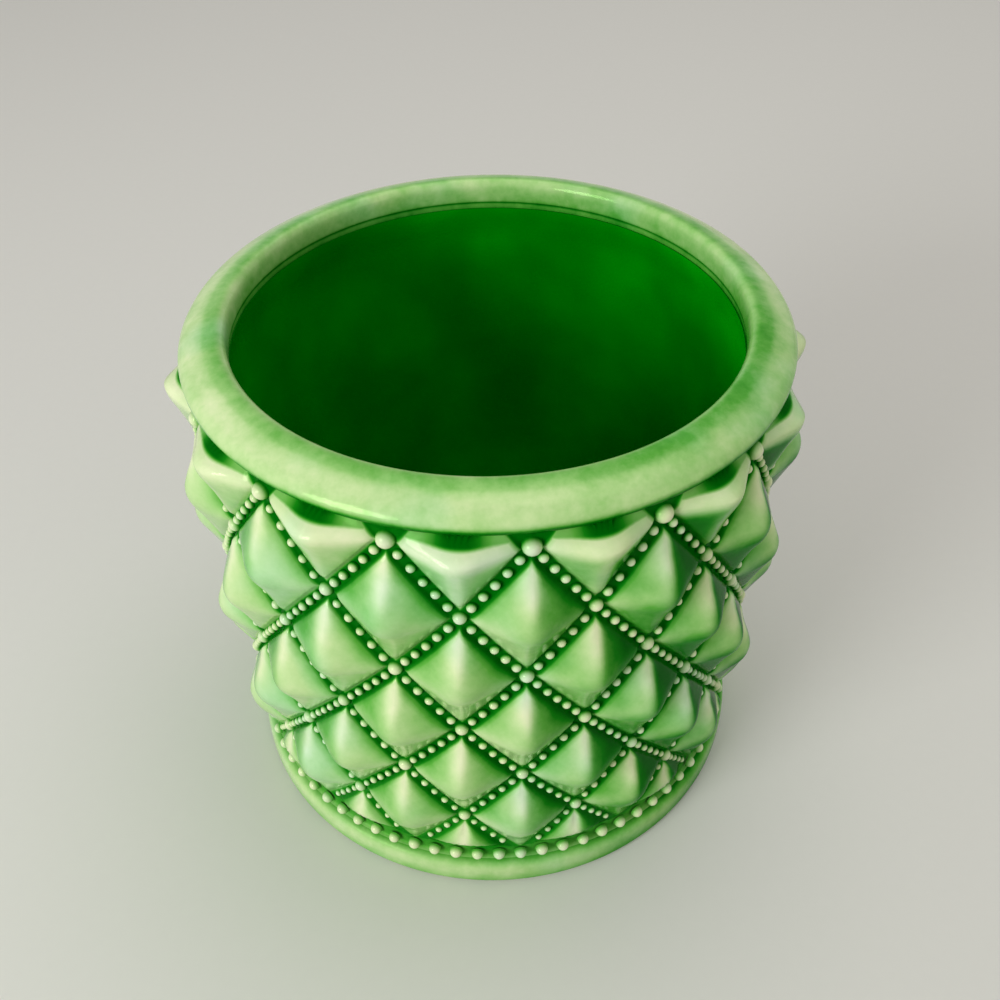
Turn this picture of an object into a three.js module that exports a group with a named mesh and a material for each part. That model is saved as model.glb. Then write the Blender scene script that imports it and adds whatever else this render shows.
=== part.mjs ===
// A glazed ceramic planter with a thick rolled rim, a quilted wall of moulded pyramids
// between crossing rows of beads, a ring of beads round the base and a smooth foot.
// Millimetres, +Z up. The origin is on the table, on the planter's axis.

import * as THREE from 'three';

// Overall sizes
const HEIGHT = 125.7;
const RIM_RADIUS = 65;
const FOOT_RADIUS = 64.6;

// Rim: a band that leans outwards, rounded at its inner and outer edges
const RIM_WIDTH = 10.2;
const RIM_OUTER_ROUND = 2.3;
const RIM_INNER_ROUND = 2;
const RIM_DROP = 2.9;
const RIM_LIP_DEPTH = 7;
const RIM_OVERHANG = 0.4;

// Foot, floor and underside
const FOOT_HEIGHT = 7.9;
const FOOT_OVERHANG = 1.8;
const FOOT_ROUND = 1.5;
const FOOT_CHAMFER = 1.2;
const FLOOR_THICKNESS = 6;
const UNDERSIDE_RECESS = 4.6;
const FLOOR_SEAT_WIDTH = 2.5;

// Wall between the rim and the foot
const WALL_THICKNESS = 5.6;
const WALL_BELLY = 0.8;

// Quilted pattern: columns round the wall, rows of bead crossings down the wall
const COLUMNS = 15;
const CROSSING_ROWS = 7;
const ROW_SHRINK = 0.988;
const WALL_TOP_BELOW_RIM_TOP = 7.26473;
const TOP_ROW_BELOW_RIM_TOP = 10.3;
const PATTERN_TURN_DEGREES = -43;

// Relief, measured outwards from the line that the bead tops lie on
const GROOVE_DEPTH = 1.4;
const GROOVE_EDGE_DEPTH = 0.9;
const SEAM_DEPTH = 1.2;
const CROSSING_BEAD_RISE = 0.3;
const TOP_BEAD_RISE = 0.7;
const TIP_RISE = 4.7;
const TOP_TIP_RISE = 4.3;
const BASE_TIP_RISE = 3;

// Ring of beads at the base
const BASE_BEADS_PER_COLUMN = 5;
const BASE_BEAD_RISE = 2.2;
const BASE_COLLAR_HEIGHT = 4.4;

const CLEARANCE = 0.3;
const ROUND_SEGMENTS = 90;
const ARC_STEPS = 2;

// Pattern units: one cell edge is 12 units long, and the beads stand 2 units apart on it.
// The wall ends one bead above the top row and one bead above the base row.
const CELL = 12;
const BEAD_STEP = 2;
const SEAM = BEAD_STEP;
const TOLERANCE = 1e-9;

// Levels
const rimCentreHeight = HEIGHT - RIM_INNER_ROUND - RIM_DROP;
const topRowHeight = HEIGHT - TOP_ROW_BELOW_RIM_TOP;
const baseRingHeight = FOOT_HEIGHT + BASE_COLLAR_HEIGHT;
const baseRowHeight = FOOT_HEIGHT + BASE_COLLAR_HEIGHT / 2;
const wallTop = HEIGHT - WALL_TOP_BELOW_RIM_TOP;
const wallBottom = baseRingHeight;
const floorTop = UNDERSIDE_RECESS + FLOOR_THICKNESS;

// Height of a crossing row. Row 0 is the top one, and the rows close up towards the foot.
function rowHeight(row) {
  const share = (1 - ROW_SHRINK ** row) / (1 - ROW_SHRINK ** (CROSSING_ROWS - 1));
  return topRowHeight - (topRowHeight - baseRowHeight) * share;
}

// Radius of the bead tops: a tapered wall with a slight belly. The belly's curve reaches 1
// at its widest, two thirds of the way up, and 0 at the top and base rows.
function beadLineRadius(z) {
  const share = (z - baseRowHeight) / (topRowHeight - baseRowHeight);
  const top = RIM_RADIUS - RIM_OVERHANG;
  const bottom = FOOT_RADIUS - FOOT_OVERHANG;
  const belly = 27 / 4 * share ** 2 * (1 - share);
  return bottom + (top - bottom) * share + WALL_BELLY * belly;
}

function insideRadius(z) {
  return beadLineRadius(z) - GROOVE_DEPTH - WALL_THICKNESS;
}

// Collects triangles between named corner points and gives them back as one geometry
class Shell {
  constructor() {
    this.corners = new Map();
    this.positions = [];
    this.indices = [];
  }

  corner(name, point) {
    if (!this.corners.has(name)) {
      this.corners.set(name, this.positions.length / 3);
      this.positions.push(point.x, point.y, point.z);
    }
    return this.corners.get(name);
  }

  triangle(a, b, c) {
    this.indices.push(a, b, c);
  }

  // A strip of quads between two closed loops of the same length
  strip(lower, upper) {
    for (let n = 0; n < lower.length; n++) {
      const next = (n + 1) % lower.length;
      this.triangle(lower[n], lower[next], upper[next]);
      this.triangle(lower[n], upper[next], upper[n]);
    }
  }

  geometry() {
    const geometry = new THREE.BufferGeometry();
    geometry.setAttribute('position', new THREE.Float32BufferAttribute(this.positions, 3));
    geometry.setIndex(this.indices);
    geometry.computeVertexNormals();
    return geometry;
  }
}

function polar(radius, angle, z) {
  return new THREE.Vector3(radius * Math.cos(angle), radius * Math.sin(angle), z);
}

// Angle of a column. Column 0 stands PATTERN_TURN_DEGREES from the front, which faces -Y.
function columnAngle(column) {
  const turn = THREE.MathUtils.degToRad(PATTERN_TURN_DEGREES - 90);
  return turn + column * 2 * Math.PI / COLUMNS;
}

function revolve(profile) {
  const geometry = new THREE.LatheGeometry([...profile, profile[0]], ROUND_SEGMENTS);
  geometry.rotateX(Math.PI / 2);
  return geometry;
}

// The pattern is drawn on two diagonal coordinates, p down to the right and q up to the right.
// Grooves lie where p or q is a whole number of cells, so each cell is a diamond on the wall.
function rowOf(p, q) {
  return (p - q) / CELL;
}

function remainder(value) {
  return ((value % CELL) + CELL) % CELL;
}

// How far a point of the pattern stands out from the bead line
function lift(p, q) {
  const row = rowOf(p, q);
  if (row <= -SEAM / CELL || row >= CROSSING_ROWS - 1 - SEAM / CELL) return -SEAM_DEPTH;
  const acrossP = remainder(p);
  const acrossQ = remainder(q);
  if (acrossP !== 0 && acrossQ !== 0) return -GROOVE_EDGE_DEPTH;
  const along = acrossP + acrossQ;
  if (along === 0) return row === 0 ? TOP_BEAD_RISE : CROSSING_BEAD_RISE;
  return along % BEAD_STEP === 0 ? 0 : -GROOVE_DEPTH;
}

function patternPoint(p, q, rise) {
  const row = rowOf(p, q);
  const atTop = row < -SEAM / CELL + TOLERANCE;
  const atBottom = row > CROSSING_ROWS - 1 - SEAM / CELL - TOLERANCE;
  let height = rowHeight(row);
  if (atTop) height = wallTop;
  if (atBottom) height = wallBottom;
  return polar(beadLineRadius(height) + rise, columnAngle((p + q) / 2 / CELL), height);
}

// The wall with its pyramids, grooves and rows of beads
function quiltedWall() {
  const shell = new Shell();
  const lowest = CELL * (CROSSING_ROWS - 1) - SEAM;
  const within = ([p, q]) => p - q >= -SEAM && p - q <= lowest;

  function corner([p, q], rise = lift(p, q)) {
    const round = 2 * CELL * COLUMNS;
    const name = `${p - q} ${(((p + q) % round) + round) % round}`;
    return shell.corner(name, patternPoint(p, q, rise));
  }

  // Adds a triangle of pattern points, facing out, unless it passes an end of the wall
  function facet(a, b, c, rise) {
    if (![a, b, c].every(within)) return;
    const turn = (b[0] - a[0]) * (c[1] - a[1]) - (b[1] - a[1]) * (c[0] - a[0]);
    const first = corner(a, rise);
    const [second, third] = turn > 0 ? [b, c] : [c, b];
    shell.triangle(first, corner(second), corner(third));
  }

  // A crossing bead: eight facets round its top
  function crossing(p, q) {
    const ring = [[1, 1], [0, 1], [-1, 1], [-1, 0], [-1, -1], [0, -1], [1, -1], [1, 0]];
    ring.forEach(([dp, dq], n) => {
      const [np, nq] = ring[(n + 1) % ring.length];
      facet([p, q], [p + dp, q + dq], [p + np, q + nq]);
    });
  }

  // The groove from one crossing to the next, with its small beads. Along is [1, 0] or [0, 1].
  function groove(p, q, [alongP, alongQ]) {
    function point(along, side) {
      return [p + along * alongP + side * alongQ, q + along * alongQ + side * alongP];
    }
    for (let bead = BEAD_STEP; bead < CELL; bead += BEAD_STEP) {
      for (const side of [-1, 1]) {
        facet(point(bead - 1, 0), point(bead, 0), point(bead - 1, side));
        facet(point(bead - 1, side), point(bead, 0), point(bead + 1, side));
        facet(point(bead, 0), point(bead + 1, 0), point(bead + 1, side));
      }
    }
  }

  // A pyramid: its facets run from the edge of the groove up to one tip
  function pyramid(p, q) {
    const row = rowOf(p, q);
    let edge = [];
    const far = CELL - 1;
    for (let n = 1; n < far; n += BEAD_STEP) edge.push([p + n, q + 1]);
    for (let n = 1; n < far; n += BEAD_STEP) edge.push([p + far, q + n]);
    for (let n = far; n > 1; n -= BEAD_STEP) edge.push([p + n, q + far]);
    for (let n = far; n > 1; n -= BEAD_STEP) edge.push([p + 1, q + n]);
    let tip = [p + CELL / 2, q + CELL / 2];
    let rise = TIP_RISE;
    if (row === 0 || row === CROSSING_ROWS - 1) {
      // Cut off by an end of the wall, so the edge closes along that end
      edge = edge.filter(within);
      for (let n = SEAM + 1; n < far - SEAM; n += BEAD_STEP) edge.push([p + n, q + n + SEAM]);
      if (row === 0) {
        rise = TOP_TIP_RISE;
      } else {
        rise = BASE_TIP_RISE;
        tip = [p + CELL / 4, q + CELL * 3 / 4];
      }
      const turn = ([edgeP, edgeQ]) => Math.atan2(edgeQ - tip[1], edgeP - tip[0]);
      edge.sort((a, b) => turn(a) - turn(b));
    }
    edge.forEach((point, n) => facet(tip, point, edge[(n + 1) % edge.length], rise));
  }

  for (let row = -1; row < CROSSING_ROWS; row++) {
    for (let column = 0; column < COLUMNS; column++) {
      const p = CELL * (column + Math.ceil(row / 2));
      const q = p - CELL * row;
      crossing(p, q);
      groove(p, q, [1, 0]);
      groove(p, q, [0, 1]);
      if (row >= 0) pyramid(p, q);
    }
  }
  // The top and bottom edges of the wall, outside and inside. The steps are the places of
  // the pattern's points along one column: a bead and its two sides, then every second bead.
  const steps = [0, 1, 2, 4, 6, 8, 10, 11].map(n => n * BEAD_STEP);
  const ends = [];
  for (const level of [-SEAM, lowest]) {
    const outer = [];
    const inner = [];
    for (let column = 0; column < COLUMNS; column++) {
      for (const step of steps) {
        const sum = 2 * CELL * column + step;
        const point = [(sum + level) / 2, (sum - level) / 2];
        outer.push(corner(point));
        const height = level < 0 ? wallTop : wallBottom;
        const place = polar(insideRadius(height), columnAngle(sum / 2 / CELL), height);
        inner.push(shell.corner(`inner ${level} ${sum}`, place));
      }
    }
    ends.push({ outer, inner });
  }
  const [top, bottom] = ends;
  shell.strip(top.outer, top.inner);
  shell.strip(top.inner, bottom.inner);
  shell.strip(bottom.inner, bottom.outer);
  return shell.geometry();
}

// The collar at the base with its ring of beads
function baseBeadRing() {
  const shell = new Shell();
  const beads = COLUMNS * BASE_BEADS_PER_COLUMN;
  const beadLine = beadLineRadius(baseRowHeight);
  const levels = [
    { z: FOOT_HEIGHT, radius: () => beadLine - SEAM_DEPTH },
    { z: baseRowHeight, radius: bead => beadLine - SEAM_DEPTH + (bead ? BASE_BEAD_RISE : 0) },
    { z: baseRingHeight, radius: () => beadLine - SEAM_DEPTH },
    { z: baseRingHeight, radius: () => insideRadius(wallBottom) },
    { z: FOOT_HEIGHT, radius: () => insideRadius(wallBottom) },
  ];
  const loops = levels.map(({ z, radius }, level) => {
    const loop = [];
    for (let n = 0; n < 2 * beads; n++) {
      const angle = columnAngle(n / 2 / BASE_BEADS_PER_COLUMN);
      loop.push(shell.corner(`${level} ${n}`, polar(radius(n % 2 === 0), angle, z)));
    }
    return loop;
  });
  loops.forEach((loop, n) => shell.strip(loop, loops[(n + 1) % loops.length]));
  return shell.geometry();
}

// The rolled rim: rounded at both edges, with a straight slope between them and a lip inside
function rimBand() {
  const inner = new THREE.Vector2(RIM_RADIUS - RIM_WIDTH + RIM_INNER_ROUND, HEIGHT - RIM_INNER_ROUND);
  const outer = new THREE.Vector2(RIM_RADIUS - RIM_OUTER_ROUND, rimCentreHeight);
  const between = outer.clone().sub(inner);
  const lean = Math.acos((RIM_INNER_ROUND - RIM_OUTER_ROUND) / between.length());
  const slope = between.angle() - 2 * Math.PI + lean;
  const undercut = -Math.PI / 3;
  const path = new THREE.Path();
  path.moveTo(insideRadius(wallTop), wallTop);
  path.lineTo(RIM_RADIUS - RIM_WIDTH, HEIGHT - RIM_LIP_DEPTH);
  path.absarc(inner.x, inner.y, RIM_INNER_ROUND, Math.PI, slope, true);
  path.absarc(outer.x, outer.y, RIM_OUTER_ROUND, slope, undercut, true);
  path.lineTo(beadLineRadius(wallTop) - SEAM_DEPTH, wallTop);
  return revolve(path.getPoints(ARC_STEPS).reverse());
}

// Radius of the hole in the foot that the floor's middle drops into
const boreRadius = insideRadius(wallBottom) - FLOOR_SEAT_WIDTH;

// The foot: a smooth band that stands out from the wall, open underneath
function footRing() {
  const shoulder = beadLineRadius(baseRowHeight) - SEAM_DEPTH;
  const path = new THREE.Path();
  path.moveTo(boreRadius, FOOT_HEIGHT);
  path.lineTo(boreRadius, FOOT_CHAMFER);
  path.lineTo(boreRadius + FOOT_CHAMFER, 0);
  path.absarc(FOOT_RADIUS - FOOT_ROUND, FOOT_ROUND, FOOT_ROUND, -Math.PI / 2, 0, false);
  path.absarc(FOOT_RADIUS - FOOT_ROUND, FOOT_HEIGHT - FOOT_ROUND, FOOT_ROUND, 0, Math.PI / 3, false);
  path.lineTo(shoulder, FOOT_HEIGHT);
  return revolve(path.getPoints(ARC_STEPS));
}

// The floor: a stepped disc that seats on top of the foot, inside the collar
function floorSlab() {
  const middle = boreRadius - CLEARANCE;
  const flange = insideRadius(wallBottom) - CLEARANCE;
  const profile = [
    [0, UNDERSIDE_RECESS],
    [middle, UNDERSIDE_RECESS],
    [middle, FOOT_HEIGHT],
    [flange, FOOT_HEIGHT],
    [flange, floorTop],
    [0, floorTop],
  ].map(([radius, z]) => new THREE.Vector2(radius, z));
  const geometry = new THREE.LatheGeometry(profile, ROUND_SEGMENTS);
  geometry.rotateX(Math.PI / 2);
  return geometry;
}

function glaze(color, roughness) {
  return new THREE.MeshStandardMaterial({ color, roughness, metalness: 0, flatShading: true });
}

function piece(name, geometry, material) {
  const mesh = new THREE.Mesh(geometry, material);
  mesh.name = name;
  return mesh;
}

const planter = new THREE.Group();
planter.add(piece('foot_ring', footRing(), glaze(0x9fcf84, 0.2)));
planter.add(piece('floor_slab', floorSlab(), glaze(0x046a06, 0.2)));
planter.add(piece('base_bead_ring', baseBeadRing(), glaze(0x8cc074, 0.2)));
planter.add(piece('quilted_wall', quiltedWall(), glaze(0x86bc6c, 0.2)));
planter.add(piece('rim_band', rimBand(), glaze(0xa8d890, 0.2)));

export default planter;
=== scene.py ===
import math
import bmesh
import bpy
import numpy as np
from mathutils import Matrix, Vector


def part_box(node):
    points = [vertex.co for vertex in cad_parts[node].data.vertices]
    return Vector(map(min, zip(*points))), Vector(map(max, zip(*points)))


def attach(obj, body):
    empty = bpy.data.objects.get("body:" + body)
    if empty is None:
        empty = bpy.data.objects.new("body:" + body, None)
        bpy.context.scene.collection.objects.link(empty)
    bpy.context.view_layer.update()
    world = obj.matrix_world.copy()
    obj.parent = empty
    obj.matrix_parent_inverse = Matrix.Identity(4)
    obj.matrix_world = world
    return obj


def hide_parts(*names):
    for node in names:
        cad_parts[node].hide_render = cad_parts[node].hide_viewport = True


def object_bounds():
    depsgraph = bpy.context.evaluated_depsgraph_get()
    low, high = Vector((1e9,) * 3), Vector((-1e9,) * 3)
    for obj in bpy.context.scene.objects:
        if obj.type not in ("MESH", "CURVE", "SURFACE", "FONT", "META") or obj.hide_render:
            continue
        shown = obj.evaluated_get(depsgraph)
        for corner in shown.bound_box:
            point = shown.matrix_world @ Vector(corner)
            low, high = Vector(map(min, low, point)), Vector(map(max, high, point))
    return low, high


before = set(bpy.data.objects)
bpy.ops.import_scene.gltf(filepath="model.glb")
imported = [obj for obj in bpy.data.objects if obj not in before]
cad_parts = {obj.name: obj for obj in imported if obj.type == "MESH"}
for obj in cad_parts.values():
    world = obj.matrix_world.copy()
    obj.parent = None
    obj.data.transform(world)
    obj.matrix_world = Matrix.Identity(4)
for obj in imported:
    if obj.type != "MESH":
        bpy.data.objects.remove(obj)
cad_low, cad_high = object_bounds()

# Sizes are in millimetres until a mesh is made
MM = 0.001
HEIGHT = cad_high.z / MM
WALL_BOTTOM, WALL_TOP = (corner.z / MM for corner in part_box("quilted_wall"))
FOOT_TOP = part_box("foot_ring")[1].z / MM
FLOOR_UNDERSIDE, FLOOR_TOP = (corner.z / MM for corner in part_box("floor_slab"))
RIM_RADIUS = 65
RIM_WIDTH = 10.2
FOOT_RADIUS = 64.6
BORE_RADIUS = 53.3

# The quilted pattern, as on the CAD wall
COLUMNS = 15
LAST_ROW = 6
ROW_SHRINK = 0.988
TOP_ROW_HEIGHT = 115.4
BASE_ROW_HEIGHT = (FOOT_TOP + WALL_BOTTOM) / 2
TOP_BEAD_LINE = 64.6
BASE_BEAD_LINE = 62.8
WALL_BELLY = 0.8
WALL_DEPTH = 7
LIP_DRAW_IN = 9

# Angles run anticlockwise from +X. The first column lies 43 degrees to the left of the front.
FRONT = math.radians(-90)
PATTERN_TURN = FRONT - math.radians(43)

# The upper rows have slipped round the pot, most of all near one column: by how many columns,
# and over how many columns and rows that fades
SLIP = 0.07
SLIP_MIDDLE = 1.3
SLIP_SPREAD = 1.4
SLIP_ROWS = 4.5

# Relief, measured outwards from the bead line. Widths in a cell are shares of its side, but the
# ridge's rib is given in columns, and where it sets in and fades in rows below the cell's middle.
GROOVE_FLOOR = -1.35
LOW_GROOVE_RISE = 0.35
LOW_GROOVE_ROW = 4.2
GROOVE_HALF_WIDTH = 0.048
GROOVE_EDGE = 0.106
FACET_START = 0.098
FACET_BASE = -0.15
FACET_HOLLOW = 0.12
TIP_RISE = 4.66
TOP_TIP_RISE = 4.3
RIB_RISE = 0.5
RIB_HALF_WIDTH = 0.062
RIB_START = (-0.97, -0.78)
RIB_END = (-0.30, 0.06)
BASE_SLOPE = 19
BASE_TUCK = 12.6
BASE_ROUND = 1.2
SEAM_DEPTH = 1.2
SEAM = 1 / 6

# How far the edges of a pyramid are rounded, in cells: at their outer ends, and what is added
# nearer the tip. The rows near the foot are more worn.
END_ROUND = 0.05
UPRIGHT_TOP_ROUND = 0.22
UPRIGHT_BOTTOM_ROUND = 0.16
LEVEL_ROUND = 0.11
LOW_ROW_WEAR = 0.5

# Beads: radius, and how far the top stands above the bead line
SMALL_BEAD = (0.98, 0.06)
CROSSING_BEAD = (1.5, 0.4)
TOP_BEAD = (1.95, 0.8)
BASE_BEAD = (1.45, 1.1)
BEADS_PER_EDGE = 5
BASE_BEADS_PER_COLUMN = 5
BEAD_WEAR = 0.18
BEAD_WEAR_ROW = 2.5
BEAD_SIZE_RANGE = (0.93, 1.05)
BEAD_RISE_RANGE = (-0.10, 0.06)

# The pot is slightly oval and slightly three-sided
OVAL = 0.16
LOBES = 0.08

# The floor stands clear of the foot and the wall, and its faces end in a flat cap in the middle
FLOOR_GAP = 0.3
CAP_RADIUS = 3

RING_SEGMENTS = 240
BEAD_SEGMENTS = 14
INSIDE_LEVELS = 30

# The sine of the angle round the pot at which its side is reached
FULL_SIDE = 0.6

# Depths of glaze with painted shade on each facet, darker on the facets that face right and on the pot's
# right side: in front, then what is added on the pot's right and left sides
UPPER_LEFT_GLAZE_AND_SHADE = (0.38, 0.10, 0.20)
UPPER_RIGHT_GLAZE_AND_SHADE = (0.47, 0.54, -0.20)
LOWER_LEFT_GLAZE_AND_SHADE = (0.32, 0.60, 0.44)
LOWER_RIGHT_GLAZE_AND_SHADE = (0.48, 0.60, -0.14)
# Painted shade along the facets' right edges, given in the same way, and glaze gathered along their left
# edges
UPPER_RIGHT_EDGE_SHADE = (0.55, 0, -0.275)
LOWER_RIGHT_EDGE_SHADE = (0.08, 0.50, 0)
LEFT_POOL = 0.20
# How dark the wall is under the rim at the outer parts of each half pyramid, from pooled glaze and painted
# shade
OUTER_POOL_AND_SHADE_UNDER_RIM = 0.55
# Darker on the outer parts of the upper facets, and paler towards their tips
OUTER_GLAZE = 0.14
TIP_THINNING = 0.06

# How pale the ridges are, in the same way, partly from glaze drawn back and partly as painted highlight,
# and from how wide a strip: in columns to the left and right of the upright ridge, and in rows
# beside the level one. The strip is wider on the left, which faces the lamp.
DRAWN_BACK_AND_HIGHLIGHT = (0.97, -0.12, -0.10)
BARE_LEFT = 0.09
BARE_RIGHT = 0.05
BARE_LEVEL = 0.13

# Where the dark of a groove ends, in cells from its upper left edge, and by how much sooner it
# ends at the other edges. At the right ones that changes round the pot, in the same way. The dark
# is pooled glaze, and where it reaches further up the facets that face right and up it is painted shade.
POOL_EDGE = (0.07, 0.108)
LOWER_LEFT_SHORT = 0.034
LOWER_RIGHT_SHORT = (0.038, -0.030, 0)
UPPER_RIGHT_SHORT = (-0.008, 0, 0.020)

# Painted shade on the rim and foot, on the side turned from the lamp: it lies over a narrow stretch at the
# right front
SHADED_TOWARDS = math.radians(-30)
SHADE_NARROWNESS = 4


def smooth_step(low, high, value):
    share = np.clip((value - low) / (high - low), 0, 1)
    return share * share * (3 - 2 * share)


def blend(a, b, share):
    return a + (b - a) * share


def soft_min(a, b, width):
    """The smaller of a and b, with the crease between them rounded over the given width."""
    near = np.maximum(width - np.abs(a - b), 0) / np.maximum(width, 1e-9)
    return np.minimum(a, b) - near * near * width / 4


def row_height(row):
    """Height of a row of crossings. The rows draw closer together towards the foot."""
    share = (1 - ROW_SHRINK ** row) / (1 - ROW_SHRINK ** LAST_ROW)
    return TOP_ROW_HEIGHT + (BASE_ROW_HEIGHT - TOP_ROW_HEIGHT) * share


def bead_line_radius(z):
    """Radius of the wall at its bead lines, with a slight belly at two thirds of its height."""
    share = (z - BASE_ROW_HEIGHT) / (TOP_ROW_HEIGHT - BASE_ROW_HEIGHT)
    belly = 27 / 4 * share ** 2 * (1 - share)
    return BASE_BEAD_LINE + (TOP_BEAD_LINE - BASE_BEAD_LINE) * share + WALL_BELLY * belly


def row_slip(column, row):
    """How far a row has slipped round the pot, in columns."""
    offset = (column - SLIP_MIDDLE + COLUMNS / 2) % COLUMNS - COLUMNS / 2
    return SLIP * np.exp(-(offset / SLIP_SPREAD) ** 2) * np.maximum(0, 1 - np.maximum(row, 0) / SLIP_ROWS)


def column_angle(column, row=LAST_ROW):
    return PATTERN_TURN + (column + row_slip(column, row)) * 2 * math.pi / COLUMNS


def inside_radius(z):
    """The inside of the wall, which draws in under the rim's lip."""
    lip = RIM_RADIUS - RIM_WIDTH
    wall = bead_line_radius(z) - WALL_DEPTH
    return blend(wall, lip, smooth_step(WALL_TOP - LIP_DRAW_IN, WALL_TOP, z))


def cell_place(p, q):
    """Where a point lies in its diamond cell, and the cell's row.

    The first four are the distances from the upper left, lower right, lower left and upper right edges.
    """
    left = p - np.floor(p)
    lower = q - np.floor(q)
    return left, 1 - left, lower, 1 - lower, np.floor(p) - np.floor(q)


def inward_distance(p, q):
    """Distance from the nearest groove, in cells, with the pyramid's four edges rounded."""
    upper_left, lower_right, lower_left, upper_right, _ = cell_place(p, q)
    worn = 1 + LOW_ROW_WEAR * smooth_step(LAST_ROW / 2, LAST_ROW, p - q)
    top_share = smooth_step(0.06, 0.22, np.minimum(upper_left, upper_right))
    bottom_share = smooth_step(0.05, 0.3, np.minimum(lower_left, lower_right))
    top = soft_min(upper_left, upper_right, worn * (END_ROUND + UPRIGHT_TOP_ROUND * top_share))
    bottom = soft_min(lower_left, lower_right, worn * (END_ROUND + UPRIGHT_BOTTOM_ROUND * bottom_share))
    level_share = smooth_step(0.05, 0.3, np.minimum(top, bottom))
    return soft_min(top, bottom, worn * (END_ROUND + LEVEL_ROUND * level_share))


def facet_share(inward):
    """0 at the foot of a facet and 1 at the tip of its pyramid."""
    tip = inward_distance(0.5, 0.5)
    return np.clip((inward - FACET_START) / (tip - FACET_START), 0, 1)


def facet_lift(inward, rise):
    share = facet_share(inward)
    hollow = FACET_HOLLOW * share * (1 - share)
    return blend(FACET_BASE, rise, share - hollow)


def from_middle(p, q):
    """Columns to the right of the cell's middle, and rows below it."""
    across = (p + q) / 2 - (np.floor(p) + np.floor(q) + 1) / 2
    return across, (p - q) - (np.floor(p) - np.floor(q))


def relief(p, q):
    """How far the wall stands out from the bead line, in millimetres."""
    row = p - q
    cell_row = cell_place(p, q)[-1]
    across, below = from_middle(p, q)
    inward = inward_distance(p, q)
    rib = RIB_RISE * np.exp(-(across / RIB_HALF_WIDTH) ** 2)
    rib = rib * smooth_step(*RIB_START, below) * (1 - smooth_step(*RIB_END, below))
    lift = facet_lift(inward, TIP_RISE) + rib

    # Half cells under the rim: a ridge at the top row, and a short slope back to the rim
    middle = (p + q) / 2
    crest = facet_lift(inward_distance(middle, middle), TOP_TIP_RISE)
    back = np.clip(1 + row / SEAM, 0, 1)
    slope = blend(-SEAM_DEPTH, crest, back)
    front = facet_lift(inward, TOP_TIP_RISE)
    lift = np.where(cell_row == 0, np.where(row < 0, slope, front), lift)

    # Half cells over the base beads: a steep little pyramid, tucked back towards the beads
    steep = FACET_BASE + BASE_SLOPE * np.maximum(inward - FACET_START, 0)
    tuck = -SEAM_DEPTH + BASE_TUCK * (LAST_ROW - SEAM - row)
    lift = np.where(cell_row == LAST_ROW, soft_min(steep, tuck, BASE_ROUND), lift)

    floor = GROOVE_FLOOR + LOW_GROOVE_RISE * smooth_step(LOW_GROOVE_ROW, LAST_ROW, row)
    return blend(floor, lift, smooth_step(GROOVE_HALF_WIDTH, GROOVE_EDGE, inward))


def pot_sides(p, q):
    """How far a place lies to the pot's right side, and how far to its left, each from 0 to 1."""
    turn = np.sin(column_angle((p + q) / 2, p - q) - FRONT) / FULL_SIDE
    return np.clip(turn, 0, 1), np.clip(-turn, 0, 1)


def round_the_pot(amounts, sides):
    """An amount in front, with what is added to it towards the pot's right and left sides."""
    front, right_side, left_side = amounts
    return front + right_side * sides[0] + left_side * sides[1]


def facet_glaze_and_shade(p, q, sides):
    """Glaze depth on the facets, with painted shade: darker on the facets that face right, away from the
    lamp, and changed towards the pot's sides.
    """
    upper_left, lower_right, lower_left, upper_right, _ = cell_place(p, q)
    across, below = from_middle(p, q)
    right = smooth_step(-0.06, 0.06, across)
    outer = smooth_step(0.08, 0.30, np.abs(across))
    upper = blend(round_the_pot(UPPER_LEFT_GLAZE_AND_SHADE, sides), round_the_pot(UPPER_RIGHT_GLAZE_AND_SHADE, sides), right)
    lower = blend(round_the_pot(LOWER_LEFT_GLAZE_AND_SHADE, sides), round_the_pot(LOWER_RIGHT_GLAZE_AND_SHADE, sides), right)
    facet = blend(upper + OUTER_GLAZE * outer, lower, smooth_step(-0.12, 0.12, below))
    facet = facet - TIP_THINNING * facet_share(inward_distance(p, q))

    # Darker along the edges: painted shade at the right edges, which turn away from the lamp, most of all
    # at the upper right, and glaze gathered at the left edges
    upper_edge_shade = round_the_pot(UPPER_RIGHT_EDGE_SHADE, sides) * (1 - smooth_step(0.08, 0.20, upper_right))
    upper_edge_shade = upper_edge_shade * (1 - smooth_step(0.5, 0.9, below))
    lower_edge_shade = round_the_pot(LOWER_RIGHT_EDGE_SHADE, sides) * (1 - smooth_step(0.08, 0.22, lower_right))
    left_edge = np.minimum(upper_left, lower_left + 0.06)
    left_pool = LEFT_POOL * (1 - smooth_step(0.08, 0.15, left_edge))
    pool = np.maximum(np.maximum(upper_edge_shade, lower_edge_shade), left_pool)
    return np.maximum(facet, blend(facet, 1, pool))


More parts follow.
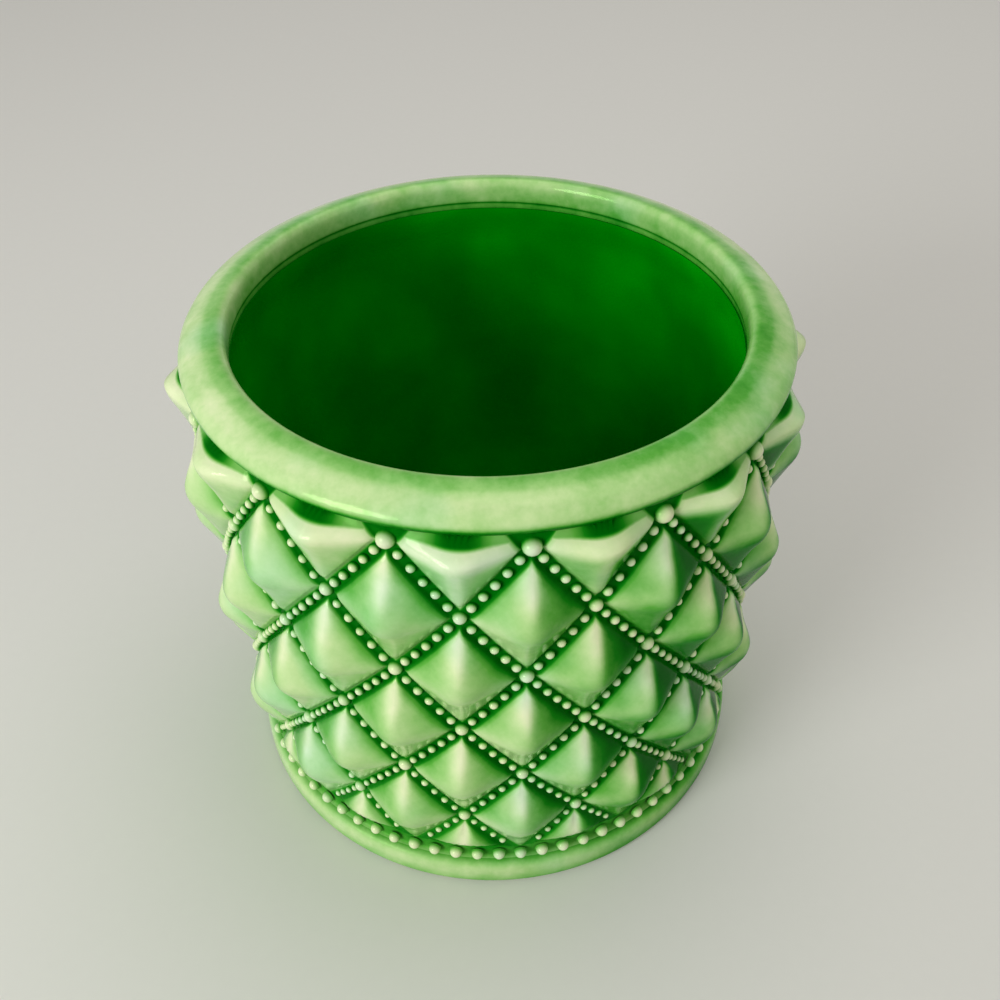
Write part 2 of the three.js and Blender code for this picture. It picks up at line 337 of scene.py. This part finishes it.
def bare_and_highlit_ridges(p, q):
    """1 on the pale ridges: partly where the glaze drew back, partly painted highlight, wider and stronger
    on the left side that faces the lamp. The upright one is pale to just above the tip.
    """
    row = p - q
    cell_row = cell_place(p, q)[-1]
    across, below = from_middle(p, q)
    spread = np.where(across < 0, BARE_LEFT, BARE_RIGHT)
    length = smooth_step(-0.96, -0.84, below) * (1 - 0.85 * smooth_step(-0.45, -0.08, below))
    length = np.where(cell_row == 0, 0.55 * smooth_step(-0.02, 0.05, row), length)
    upright = length * np.exp(-(across / spread) ** 2)
    strength = 0.5 - 0.3 * smooth_step(-0.06, 0.06, across)
    outer = 1 - facet_share(inward_distance(p, q))
    level = strength * outer * np.exp(-(below / BARE_LEVEL) ** 2)

    # The half pyramids under the rim have a level ridge at the top row
    top_ridge = 0.9 * np.exp(-(np.maximum(row, -0.5 * row) / BARE_LEVEL) ** 2)
    top_ridge = np.where(cell_row == 0, top_ridge, 0)
    return np.clip(np.maximum(np.maximum(upright, level), top_ridge), 0, 1)


def groove_pool_and_shade(p, q, sides):
    """1 in the grooves, where the glaze pools. It reaches furthest up the facets that face right and up,
    away from the lamp, and that extra reach is painted shade.
    """
    upper_left, lower_right, lower_left, upper_right, _ = cell_place(p, q)
    left_edge = np.minimum(upper_left, lower_left + LOWER_LEFT_SHORT)
    lower_edge = lower_right + round_the_pot(LOWER_RIGHT_SHORT, sides)
    upper_edge = upper_right + round_the_pot(UPPER_RIGHT_SHORT, sides)
    edge = np.minimum(left_edge, np.minimum(lower_edge, upper_edge))
    worn = 1 - 0.3 * smooth_step(3.5, LAST_ROW, p - q)
    return (1 - smooth_step(*POOL_EDGE, edge)) * worn


def glaze_depth_and_shade(p, q):
    """How thick the glaze lies, with painted shade and highlight in it: 0 on the ridges, 1 pooled in the
    grooves.
    """
    sides = pot_sides(p, q)
    bare_and_highlit = round_the_pot(DRAWN_BACK_AND_HIGHLIGHT, sides) * bare_and_highlit_ridges(p, q)
    facet = facet_glaze_and_shade(p, q, sides) * (1 - bare_and_highlit)
    return np.clip(blend(facet, 1, groove_pool_and_shade(p, q, sides)), 0, 1)


def pool_and_shade_under_rim(p, q):
    """How dark the wall is under the rim, from glaze pooled against it and painted shade: most behind the
    middle of each half pyramid.
    """
    across, _ = from_middle(p, q)
    outer = smooth_step(0.06, 0.26, np.abs(across))
    return np.where(p - q < 0.1, blend(1, OUTER_POOL_AND_SHADE_UNDER_RIM, outer), 0)


def wobble(angle, z):
    """The slight unevenness of a moulded, fired pot, in millimetres."""
    return OVAL * np.sin(2 * angle + 0.8) + LOBES * np.sin(3 * angle + 0.035 * z) - OVAL


def at(radius, angle, z):
    """Points of the pot, in metres."""
    radius = radius + wobble(angle, z)
    return np.stack([radius * np.cos(angle), radius * np.sin(angle), z + 0 * angle], -1) * MM


def add_values(mesh, name, values):
    """Gives each corner point of the mesh a value that the glaze material reads."""
    layer = mesh.attributes.new(name, "FLOAT", "POINT")
    layer.data.foreach_set("value", np.asarray(values, np.float32).ravel())


def make_object(name, points, faces, depth):
    """An object on the pot's body, with its glaze depth and painted shade at each point."""
    mesh = bpy.data.meshes.new(name)
    mesh.from_pydata(points.tolist(), [], faces)
    mesh.validate()
    add_values(mesh, "glaze_depth_and_shade", depth)
    mesh.shade_smooth()
    mesh.set_sharp_from_angle(angle=math.radians(60))
    obj = bpy.data.objects.new(name, mesh)
    bpy.context.scene.collection.objects.link(obj)
    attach(obj, "root")
    return obj


def cell_nodes():
    """Places of the mesh lines across one cell, close together at the grooves."""
    groove = [0, 0.022, 0.040, 0.054, 0.068, 0.082, FACET_START]
    half = groove + [0.13, 0.17, 0.22, 0.275, 0.33, 0.38, 0.425, 0.465, 0.5]
    return np.array(half + [1 - place for place in half[-2:0:-1]])


def zip_loops(angles_a, loop_a, angles_b, loop_b):
    """Triangles between two closed loops of different counts, both in order of angle."""
    faces = []
    a = b = 0
    while a < len(loop_a) or b < len(loop_b):
        next_a = angles_a[a + 1] if a + 1 < len(loop_a) else angles_a[0] + 2 * math.pi
        next_b = angles_b[b + 1] if b + 1 < len(loop_b) else angles_b[0] + 2 * math.pi
        first, second = loop_a[a % len(loop_a)], loop_b[b % len(loop_b)]
        if b >= len(loop_b) or (a < len(loop_a) and next_a <= next_b):
            faces.append((first, loop_a[(a + 1) % len(loop_a)], second))
            a += 1
        else:
            faces.append((first, loop_b[(b + 1) % len(loop_b)], second))
            b += 1
    return faces


def relief_surface():
    """The quilted outside of the wall as a bmesh, cut level at both ends."""
    nodes = cell_nodes()
    steps = len(nodes)
    around = steps * COLUMNS
    first, last = -steps // 2, steps * LAST_ROW + steps // 4
    level, column = np.meshgrid(np.arange(first, last + 1), np.arange(around), indexing="ij")
    p = (column + level) // steps + nodes[(column + level) % steps]
    q = column // steps + nodes[column % steps]
    row = p - q
    z = row_height(row)
    angle = column_angle((p + q) / 2, row)
    points = at(bead_line_radius(z) + relief(p, q), angle, z).reshape(-1, 3)

    def index(level, column):
        return (level - first) * around + column % around

    # Each square between the lines is cut into two triangles along the nearer ridge of its pyramid
    level, column = (grid.ravel() for grid in np.meshgrid(
        np.arange(first + 1, last), np.arange(around), indexing="ij"))
    a, b = index(level, column), index(level + 1, column)
    c, d = index(level, column + 1), index(level - 1, column + 1)
    middles = (nodes + np.append(nodes[1:], 1)) / 2
    left, lower = middles[(level + column) % steps], middles[column % steps]
    upright = (np.abs(left - lower) > np.abs(left + lower - 1))[:, None]
    first_half = np.where(upright, np.stack([a, b, d], -1), np.stack([a, b, c], -1))
    second_half = np.where(upright, np.stack([b, c, d], -1), np.stack([a, c, d], -1))
    mesh = bpy.data.meshes.new("relief")
    mesh.from_pydata(points.tolist(), [], np.concatenate([first_half, second_half]).tolist())
    add_values(mesh, "glaze_depth_and_shade", glaze_depth_and_shade(p, q))
    add_values(mesh, "pool_and_shade_under_rim", pool_and_shade_under_rim(p, q))
    surface = bmesh.new()
    surface.from_mesh(mesh)
    bpy.data.meshes.remove(mesh)
    for level, side in ((WALL_TOP, 1), (WALL_BOTTOM, -1)):
        bmesh.ops.bisect_plane(
            surface,
            geom=surface.verts[:] + surface.edges[:] + surface.faces[:],
            dist=1e-8,
            plane_co=(0, 0, level * MM),
            plane_no=(0, 0, side),
            clear_outer=True,
        )
    loose = [vertex for vertex in surface.verts if not vertex.link_faces]
    bmesh.ops.delete(surface, geom=loose, context="VERTS")
    return surface


def quilted_wall(outside, inside):
    """The relief, the plain inside and the level ends, joined in one closed mesh."""
    surface = relief_surface()
    surface.verts.index_update()
    points = [tuple(vertex.co) for vertex in surface.verts]
    layers = surface.verts.layers.float
    depth = [vertex[layers["glaze_depth_and_shade"]] for vertex in surface.verts]
    pool = [vertex[layers["pool_and_shade_under_rim"]] for vertex in surface.verts]
    faces = [tuple(vertex.index for vertex in face.verts) for face in surface.faces]
    edge = {vertex.index for line in surface.edges if line.is_boundary for vertex in line.verts}
    surface.free()

    outer = np.array(points) / MM
    angle = np.arctan2(outer[:, 1], outer[:, 0])
    first_inside = len(faces)

    # The inside, and the flat ends that join it to the relief
    levels = np.linspace(WALL_TOP, WALL_BOTTOM, INSIDE_LEVELS)
    ring_angles = np.arange(RING_SEGMENTS) * 2 * math.pi / RING_SEGMENTS - math.pi
    start = len(points)
    for z in levels:
        points += [tuple(place) for place in at(inside_radius(z), ring_angles, z)]
        depth += [1.0] * RING_SEGMENTS
    for level in range(len(levels) - 1):
        for n in range(RING_SEGMENTS):
            here, there = start + level * RING_SEGMENTS, start + (level + 1) * RING_SEGMENTS
            m = (n + 1) % RING_SEGMENTS
            faces.append((here + n, here + m, there + m, there + n))
    after_inside = len(faces)
    half = (WALL_TOP + WALL_BOTTOM) / 2
    for upper, ring in ((True, start), (False, start + (len(levels) - 1) * RING_SEGMENTS)):
        loop = [index for index in edge if (outer[index, 2] > half) == upper]
        loop.sort(key=lambda index: angle[index])
        inner = list(range(ring, ring + RING_SEGMENTS))
        strip = zip_loops(angle[loop], loop, ring_angles, inner)
        faces += strip if upper else [face[::-1] for face in strip]

    wall = make_object("wall", np.array(points), faces, depth)
    add_values(wall.data, "pool_and_shade_under_rim", pool + [0] * (len(points) - len(pool)))
    wall.data.materials.append(outside)
    wall.data.materials.append(inside)
    for polygon in wall.data.polygons[first_inside:after_inside]:
        polygon.material_index = 1
    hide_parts("quilted_wall")


def bead_template():
    """A dome with a flared foot, where the glaze gathers round it. Radius 1, with its top at height 1."""
    rings = [(math.sin(a), math.cos(a), thick) for a, thick in
             zip(np.radians([24, 46, 64, 80]), (0.05, 0.14, 0.32, 0.62))]
    rings += [(1.03, -0.10, 0.95), (1.12, -0.25, 1.0)]
    points, depth, faces = [(0, 0, 1)], [0.0], []
    for radius, height, thick in rings:
        for n in range(BEAD_SEGMENTS):
            turn = 2 * math.pi * n / BEAD_SEGMENTS
            points.append((radius * math.cos(turn), radius * math.sin(turn), height))
            depth.append(thick)
    for n in range(BEAD_SEGMENTS):
        m = (n + 1) % BEAD_SEGMENTS
        faces.append((0, 1 + n, 1 + m))
        for ring in range(len(rings) - 1):
            a, b = 1 + ring * BEAD_SEGMENTS, 1 + (ring + 1) * BEAD_SEGMENTS
            faces.append((a + n, b + n, b + m, a + m))
    last = 1 + (len(rings) - 1) * BEAD_SEGMENTS
    faces.append(tuple(range(last + BEAD_SEGMENTS - 1, last - 1, -1)))
    return np.array(points, float), np.array(depth), faces


def beads(name, places, material, seed, pool):
    """Domes at the given places, each a column, a row, a radius and the rise of its top, in one mesh.

    The glaze round their feet is as deep as pool says.
    """
    shape, thick, template = bead_template()
    thick = thick * pool
    random = np.random.default_rng(seed)
    points, faces, depth = [], [], []
    for n, (column, row, radius, rise) in enumerate(places):
        radius = radius * random.uniform(*BEAD_SIZE_RANGE)
        rise = rise + random.uniform(*BEAD_RISE_RANGE)
        angle, z = column_angle(column, row), row_height(row)
        centre = at(bead_line_radius(z) + rise - radius, angle, z)
        out = np.array([math.cos(angle), math.sin(angle), 0])
        side = np.array([-math.sin(angle), math.cos(angle), 0])
        up = np.array([0, 0, 1])
        local = shape * radius * MM
        points.append(centre + local[:, :1] * side + local[:, 1:2] * up + local[:, 2:] * out)
        faces += [tuple(corner + n * len(shape) for corner in face) for face in template]
        depth.append(thick)
    obj = make_object(name, np.concatenate(points), faces, np.concatenate(depth))
    obj.data.materials.append(material)
    return obj


def wall_beads(material):
    places = []
    for row in range(LAST_ROW + 1):
        for n in range(COLUMNS):
            column = n + (row % 2) / 2
            if row < LAST_ROW:
                radius, rise = TOP_BEAD if row == 0 else CROSSING_BEAD
                places.append((column, row, radius, rise))
            for bead in range(1, BEADS_PER_EDGE + 1):
                share = bead / (BEADS_PER_EDGE + 1)
                if row + share >= LAST_ROW - SEAM:
                    continue
                worn = BEAD_WEAR * max(row + share - BEAD_WEAR_ROW, 0) / (LAST_ROW - BEAD_WEAR_ROW)
                radius, rise = SMALL_BEAD
                for side in (-1, 1):
                    place = (column + side * share / 2, row + share)
                    places.append((*place, radius * (1 - worn), rise - worn))
    obj = beads("wall_beads", places, material, seed=3, pool=1)


def base_beads(material):
    radius, rise = BASE_BEAD
    count = COLUMNS * BASE_BEADS_PER_COLUMN
    places = [(n / BASE_BEADS_PER_COLUMN, LAST_ROW, radius, rise) for n in range(count)]
    obj = beads("base_beads", places, material, seed=5, pool=0.72)


def curve_through(points, steps):
    """A smooth line through the points of a profile (Catmull-Rom), with their glaze depths."""
    points = np.array(points, float)
    ends = [2 * points[0] - points[1], 2 * points[-1] - points[-2]]
    points = np.vstack([ends[0], points, ends[1]])
    line = []
    for a, b, c, d in zip(points, points[1:], points[2:], points[3:]):
        for t in np.arange(steps) / steps:
            line.append(0.5 * (2 * b + (c - a) * t + (2 * a - 5 * b + 4 * c - d) * t ** 2
                               + (3 * b - a - 3 * c + d) * t ** 3))
    return line + [points[-2]]


def turned(name, profile, closed=True, side_shade=0):
    """A profile of radius, height and glaze depth, turned round the axis. It runs anticlockwise.

    Painted shade of the given amount is added on the side turned from the lamp.
    """
    angles = np.arange(RING_SEGMENTS) * 2 * math.pi / RING_SEGMENTS - math.pi
    points, depth, faces = [], [], []
    for radius, z, thick in profile:
        points.append(at(radius, angles, z))
        depth += list(thick + side_shade * np.exp(SHADE_NARROWNESS * (np.cos(angles - SHADED_TOWARDS) - 1)))
    count = len(profile)
    for ring in range(count if closed else count - 1):
        here, there = ring * RING_SEGMENTS, (ring + 1) % count * RING_SEGMENTS
        for n in range(RING_SEGMENTS):
            m = (n + 1) % RING_SEGMENTS
            faces.append((here + n, here + m, there + m, there + n))
    if not closed:
        faces.append(tuple(range(RING_SEGMENTS - 1, -1, -1)))
        faces.append(tuple((count - 1) * RING_SEGMENTS + n for n in range(RING_SEGMENTS)))
    return make_object(name, np.concatenate(points), faces, depth)


def rim(material):
    lip = RIM_RADIUS - RIM_WIDTH
    seam = bead_line_radius(WALL_TOP) - SEAM_DEPTH
    # Glaze depths along the rim, with painted light and shade: dark on the underside over the wall as
    # painted shade, paler on the outer slope as painted highlight, and darker from the crest inwards as
    # painted shade
    outside = curve_through([
        (seam, WALL_TOP, 1.0),
        (RIM_RADIUS - 0.9, WALL_TOP + 0.6, 0.95),
        (RIM_RADIUS - 0.15, WALL_TOP + 1.8, 0.85),
        (RIM_RADIUS - 0.05, WALL_TOP + 2.5, 0.50),
        (RIM_RADIUS - 0.20, WALL_TOP + 3.3, 0.28),
        (RIM_RADIUS - 1.3, WALL_TOP + 4.6, 0.24),
        (RIM_RADIUS - 3.3, WALL_TOP + 5.7, 0.22),
        (RIM_RADIUS - 4.9, WALL_TOP + 6.4, 0.30),
        (RIM_RADIUS - 6.1, HEIGHT - 0.45, 0.44),
        (lip + 2.2, HEIGHT - 0.05, 0.50),
        (lip + 1.0, HEIGHT - 0.3, 0.36),
        (lip + 0.25, HEIGHT - 1.3, 0.34),
        (lip, HEIGHT - 3.0, 0.46),
        (lip, HEIGHT - 5.2, 0.56),
        (lip + 0.15, HEIGHT - 5.7, 0.92),
        (lip + 0.2, HEIGHT - 6.3, 0.66),
        (lip + 0.3, WALL_TOP, 0.72),
    ], steps=4)
    obj = turned("rim", outside, side_shade=0.16)
    obj.data.materials.append(material)
    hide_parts("rim_band")


def base_collar(material):
    line = bead_line_radius(BASE_ROW_HEIGHT) - SEAM_DEPTH
    inner = inside_radius(WALL_BOTTOM)
    profile = [(inner, FOOT_TOP, 1.0)]
    profile += curve_through([
        (line + 0.8, FOOT_TOP, 0.5),
        (line + 0.2, FOOT_TOP + 0.4, 0.6),
        (line, FOOT_TOP + 1.1, 0.7),
        (line, WALL_BOTTOM, 0.8),
    ], steps=4)
    profile += [(inner, WALL_BOTTOM, 1.0)]
    obj = turned("base_collar", profile)
    obj.data.materials.append(material)
    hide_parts("base_bead_ring")


def foot(material):
    outside = [
        (BORE_RADIUS, FOOT_TOP, 1.0),
        (BORE_RADIUS, 1.4, 1.0),
        (BORE_RADIUS + 0.3, 0.5, 0.6),
        (BORE_RADIUS + 1.4, 0.0, 0.0),
    ]
    # Glaze depths down the foot, with painted shade: darker at its top under the beads and at its lower
    # edge
    outside += curve_through([
        (FOOT_RADIUS - 1.5, 0.0, 0.0),
        (FOOT_RADIUS - 0.6, 0.35, 0.3),
        (FOOT_RADIUS - 0.08, 1.2, 0.5),
        (FOOT_RADIUS, 2.3, 0.42),
        (FOOT_RADIUS - 0.05, 4.6, 0.26),
        (FOOT_RADIUS - 0.35, 6.3, 0.28),
        (FOOT_RADIUS - 1.1, 7.4, 0.44),
        (FOOT_RADIUS - 2.2, FOOT_TOP, 0.62),
    ], steps=4)
    obj = turned("foot", outside, side_shade=0.3)
    obj.data.materials.append(material)
    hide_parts("foot_ring")


def floor_disc(inside):
    edge = inside_radius(WALL_BOTTOM) - FLOOR_GAP / 2
    under = BORE_RADIUS - FLOOR_GAP
    profile = [
        (CAP_RADIUS, FLOOR_UNDERSIDE, 0),
        (under, FLOOR_UNDERSIDE, 0),
        (under, FOOT_TOP, 0),
        (edge, FOOT_TOP, 1),
        (edge, FLOOR_TOP + 2.4, 1),
    ]
    profile += curve_through([
        (edge - 0.5, FLOOR_TOP + 1.5, 1),
        (edge - 2.2, FLOOR_TOP + 0.4, 1),
        (edge - 6, FLOOR_TOP - 0.1, 1),
        (edge * 0.5, FLOOR_TOP - 0.2, 1),
        (CAP_RADIUS, FLOOR_TOP - 0.25, 1),
    ], steps=5)
    obj = turned("floor", profile, closed=False)
    obj.data.materials.append(inside)
    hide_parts("floor_slab")


def srgb(red, green, blue):
    """A linear colour from sRGB values of 0 to 255."""
    values = [value / 255 for value in (red, green, blue)]
    return [v / 12.92 if v <= 0.04045 else ((v + 0.055) / 1.055) ** 2.4 for v in values] + [1]


def new_material(name):
    material = bpy.data.materials.new(name)
    material.use_nodes = True
    tree = material.node_tree
    return material, tree, tree.nodes["Principled BSDF"]


# How fine each unevenness is, in waves per metre
CLOUD_SCALE = 110
SPECK_SCALE = 480
PATCH_SCALE = 38
INSIDE_CLOUD_SCALE = 24
UNEVEN_SCALE = 260
RIPPLE_SCALE = 170
PITTING_SCALE = 900
SPECKLE_SCALE = 300

# How much the glaze's roughness varies, the height of its ripple and the share of its pitting
UNEVEN_ROUGHNESS = 0.10
RIPPLE_HEIGHT = 0.6
PITTING = 0.12


def add_noise(tree, scale, detail=3, roughness=0.55):
    place = tree.nodes.new("ShaderNodeTexCoord")
    noise = tree.nodes.new("ShaderNodeTexNoise")
    noise.inputs["Scale"].default_value = scale
    noise.inputs["Detail"].default_value = detail
    noise.inputs["Roughness"].default_value = roughness
    tree.links.new(place.outputs["Object"], noise.inputs["Vector"])
    return noise.outputs["Fac"]


def add_math(tree, operation, a, b, clamp=False):
    node = tree.nodes.new("ShaderNodeMath")
    node.operation = operation
    node.use_clamp = clamp
    for socket, value in zip(node.inputs, (a, b)):
        if isinstance(value, (int, float)):
            socket.default_value = value
        else:
            tree.links.new(value, socket)
    return node.outputs[0]


def add_ramp(tree, value, stops):
    node = tree.nodes.new("ShaderNodeValToRGB")
    ramp = node.color_ramp
    while len(ramp.elements) < len(stops):
        ramp.elements.new(0.5)
    for element, (place, color) in zip(ramp.elements, stops):
        element.position = place
        element.color = color
    tree.links.new(value, node.inputs["Fac"])
    return node.outputs["Color"]


def add_map(tree, value, low, high, to_low=0.0, to_high=1.0, kind="LINEAR"):
    node = tree.nodes.new("ShaderNodeMapRange")
    node.interpolation_type = kind
    for name, number in (("From Min", low), ("From Max", high), ("To Min", to_low), ("To Max", to_high)):
        node.inputs[name].default_value = number
    tree.links.new(value, node.inputs["Value"])
    return node.outputs["Result"]


def add_glaze_finish(tree, shader, color, ior, roughness, bump):
    """A glassy surface with a slow ripple and fine pitting, whose reflections take the glaze's colour."""
    tree.links.new(color, shader.inputs["Base Color"])
    tree.links.new(color, shader.inputs["Specular Tint"])
    uneven = add_math(tree, "MULTIPLY", add_noise(tree, UNEVEN_SCALE, 2), UNEVEN_ROUGHNESS)
    uneven = add_math(tree, "ADD", uneven, roughness - UNEVEN_ROUGHNESS / 2)
    tree.links.new(uneven, shader.inputs["Roughness"])
    pitting = add_math(tree, "MULTIPLY", add_noise(tree, PITTING_SCALE, 2), PITTING)
    surface = add_math(tree, "ADD", add_noise(tree, RIPPLE_SCALE, 2), pitting)
    node = tree.nodes.new("ShaderNodeBump")
    node.inputs["Strength"].default_value = bump
    node.inputs["Distance"].default_value = RIPPLE_HEIGHT * MM
    tree.links.new(surface, node.inputs["Height"])
    tree.links.new(node.outputs["Normal"], shader.inputs["Normal"])
    shader.inputs["IOR"].default_value = ior


BLACK = (0, 0, 0, 1)
WHITE = (1, 1, 1, 1)

# The tint that turns the glaze slightly blue in patches
BLUISH = (0.82, 0.98, 1.1, 1)

# Height over which the pooled glaze and painted shade under the rim set in, in millimetres below the wall's
# top
POOL_AND_SHADE_UNDER_RIM_DEPTHS = (1.9, 1.1)

# Glaze depths over which the glaze loses its shine, and how shiny it is before and after
SHINE_DEPTHS = (0.35, 0.75)
SHINE = (0.5, 0.02)

# Colour of the glaze from the thinnest to the deepest
GLAZE_STOPS = [
    (0.0, srgb(246, 250, 204)),
    (0.20, srgb(210, 235, 168)),
    (0.42, srgb(160, 211, 122)),
    (0.62, srgb(96, 178, 64)),
    (0.82, srgb(24, 138, 20)),
    (1.0, srgb(0, 106, 8)),
]


def glaze_material(name, mottle, ior, roughness=0.18, bump=0.2):
    """Green glaze over white clay: pale where it lies thin and where highlight is painted, deep green where
    it pools and where shade is painted.
    """
    material, tree, shader = new_material(name)
    thick = tree.nodes.new("ShaderNodeAttribute")
    thick.attribute_name = "glaze_depth_and_shade"
    cloud = add_math(tree, "SUBTRACT", add_noise(tree, CLOUD_SCALE, 4, 0.6), 0.5)
    speck = add_math(tree, "SUBTRACT", add_noise(tree, SPECK_SCALE, 3, 0.6), 0.5)
    cloud = add_math(tree, "MULTIPLY", cloud, mottle)
    speck = add_math(tree, "MULTIPLY", speck, mottle * 0.35)
    change = add_math(tree, "ADD", cloud, speck)
    value = add_math(tree, "ADD", thick.outputs["Fac"], change, clamp=True)

    # The pooled glaze and painted shade under the rim start at one level all round
    pool = tree.nodes.new("ShaderNodeAttribute")
    pool.attribute_name = "pool_and_shade_under_rim"
    place = tree.nodes.new("ShaderNodeTexCoord")
    parts = tree.nodes.new("ShaderNodeSeparateXYZ")
    tree.links.new(place.outputs["Object"], parts.inputs["Vector"])
    start, full = ((WALL_TOP - depth) * MM for depth in POOL_AND_SHADE_UNDER_RIM_DEPTHS)
    level = add_map(tree, parts.outputs["Z"], start, full, kind="SMOOTHSTEP")
    value = add_math(tree, "MAXIMUM", value, add_math(tree, "MULTIPLY", level, pool.outputs["Fac"]))

    patch = add_ramp(tree, add_noise(tree, PATCH_SCALE, 2, 0.5), [(0.50, BLACK), (0.70, WHITE)])
    tint = tree.nodes.new("ShaderNodeMix")
    tint.data_type = "RGBA"
    tint.blend_type = "MULTIPLY"
    tree.links.new(patch, tint.inputs["Factor"])
    tree.links.new(add_ramp(tree, value, GLAZE_STOPS), tint.inputs["A"])
    tint.inputs["B"].default_value = BLUISH
    add_glaze_finish(tree, shader, tint.outputs["Result"], ior, roughness, bump)

    # The deep green pools hardly mirror anything
    shine = add_map(tree, value, *SHINE_DEPTHS, *SHINE)
    tree.links.new(shine, shader.inputs["Specular IOR Level"])
    return material


def inside_material(name):
    """The pot's inside: thick, saturated green glaze, cloudy in lightness."""
    material, tree, shader = new_material(name)
    color = add_ramp(tree, add_noise(tree, INSIDE_CLOUD_SCALE, 3, 0.5), [
        (0.34, srgb(0, 130, 2)),
        (0.52, srgb(0, 156, 4)),
        (0.70, srgb(5, 184, 9)),
    ])
    add_glaze_finish(tree, shader, color, ior=1.3, roughness=0.3, bump=0.12)
    return material


def seen_directly(tree):
    """1 for rays that show a surface itself, also in gloss and glass, and 0 for its bounced light."""
    path = tree.nodes.new("ShaderNodeLightPath")
    mirrored = add_math(tree, "MAXIMUM", path.outputs["Is Glossy Ray"], path.outputs["Is Transmission Ray"])
    return add_math(tree, "MAXIMUM", path.outputs["Is Camera Ray"], mirrored)


# Half the width of the floor that the pot stands on, and how dark its speckle is
STAGE_HALF_WIDTH = 1600
SPECKLE = 0.04


def floor_material():
    """Pale to look at, but it throws little light back up at the pot."""
    material, tree, shader = new_material("stage_floor")
    speckle = add_math(tree, "MULTIPLY", add_noise(tree, SPECKLE_SCALE, 3), SPECKLE)
    fac = add_math(tree, "SUBTRACT", seen_directly(tree), speckle, clamp=True)
    color = add_ramp(tree, fac, [(0.0, srgb(164, 162, 154)), (1.0, srgb(232, 229, 222))])
    tree.links.new(color, shader.inputs["Base Color"])
    shader.inputs["Roughness"].default_value = 0.8
    return material


def stage_floor():
    half = STAGE_HALF_WIDTH * MM
    corners = [(-half, -half, 0), (half, -half, 0), (half, half, 0), (-half, half, 0)]
    mesh = bpy.data.meshes.new("stage_floor")
    mesh.from_pydata(corners, [], [(0, 1, 2, 3)])
    mesh.materials.append(floor_material())
    obj = bpy.data.objects.new("stage_floor", mesh)
    bpy.context.scene.collection.objects.link(obj)


def area_light(name, place, size, power, color=(1, 1, 1)):
    """A round lamp aimed at the middle of the pot. Its place and size are in metres."""
    light = bpy.data.lights.new(name, "AREA")
    light.shape = "DISK"
    light.size = size
    light.energy = power
    light.color = color
    obj = bpy.data.objects.new(name, light)
    obj.location = place
    target = Vector((0, 0, HEIGHT * MM / 2))
    obj.rotation_euler = (target - Vector(place)).to_track_quat("-Z", "Y").to_euler()
    bpy.context.scene.collection.objects.link(obj)


# World light on the pot, and how much brighter the world looks
WORLD_LIGHT = 0.40
WORLD_SHOWN = 0.2


def lighting():
    area_light("key", (-0.70, -0.68, 0.38), size=0.5, power=6.3, color=(0.95, 1, 1))
    area_light("fill", (0.90, -0.50, 0.30), size=0.6, power=0.9, color=(1, 0.94, 0.78))
    area_light("top", (0.2, 0.3, 1.1), size=1.0, power=3.2)
    world = bpy.data.worlds.new("world")
    world.use_nodes = True
    tree = world.node_tree
    background = tree.nodes["Background"]
    background.inputs["Color"].default_value = (0.95, 0.95, 0.93, 1)
    shown = add_math(tree, "MULTIPLY", seen_directly(tree), WORLD_SHOWN)
    tree.links.new(add_math(tree, "ADD", shown, WORLD_LIGHT), background.inputs["Strength"])
    bpy.context.scene.world = world
    bpy.context.scene.view_settings.view_transform = "Standard"


# The camera, as fitted to the photograph: its distance from the middle of the rim in
# millimetres, and its height above the horizon and small turns in radians
CAMERA_DISTANCE = 237.0
CAMERA_ELEVATION = 0.5825
CAMERA_ROLL = -0.0174
CAMERA_YAW = 0.0078
CAMERA_PITCH = -0.1628
CAMERA_FOCAL_PIXELS = 1092.4
PICTURE_PIXELS = 1000
RIM_MIDDLE = 120.8


def camera():
    back = Vector((0, -math.cos(CAMERA_ELEVATION), math.sin(CAMERA_ELEVATION)))
    right = Vector((1, 0, 0))
    up = right.cross(-back)
    forward = (-back + math.tan(CAMERA_YAW) * right + math.tan(CAMERA_PITCH) * up).normalized()
    right = forward.cross(up).normalized()
    up = right.cross(forward)
    turn = Matrix.Rotation(CAMERA_ROLL, 3, -forward)
    right, up = turn @ right, turn @ up
    data = bpy.data.cameras.new("camera")
    data.sensor_width = 36
    data.lens = CAMERA_FOCAL_PIXELS / PICTURE_PIXELS * data.sensor_width
    data.clip_start = 0.01
    obj = bpy.data.objects.new("camera", data)
    place = back * CAMERA_DISTANCE * MM + Vector((0, 0, RIM_MIDDLE * MM))
    obj.matrix_world = Matrix.Translation(place) @ Matrix((right, up, -forward)).transposed().to_4x4()
    bpy.context.scene.collection.objects.link(obj)
    bpy.context.scene.camera = obj


wall_glaze = glaze_material("wall_glaze", mottle=0.30, ior=1.42, roughness=0.14)
rim_glaze = glaze_material("rim_glaze", mottle=0.50, ior=1.5, roughness=0.12)
foot_glaze = glaze_material("foot_glaze", mottle=0.40, ior=1.3)
inside_glaze = inside_material("inside_glaze")

quilted_wall(wall_glaze, inside_glaze)
wall_beads(wall_glaze)
rim(rim_glaze)
base_collar(wall_glaze)
base_beads(wall_glaze)
foot(foot_glaze)
floor_disc(inside_glaze)
stage_floor()
lighting()
camera()
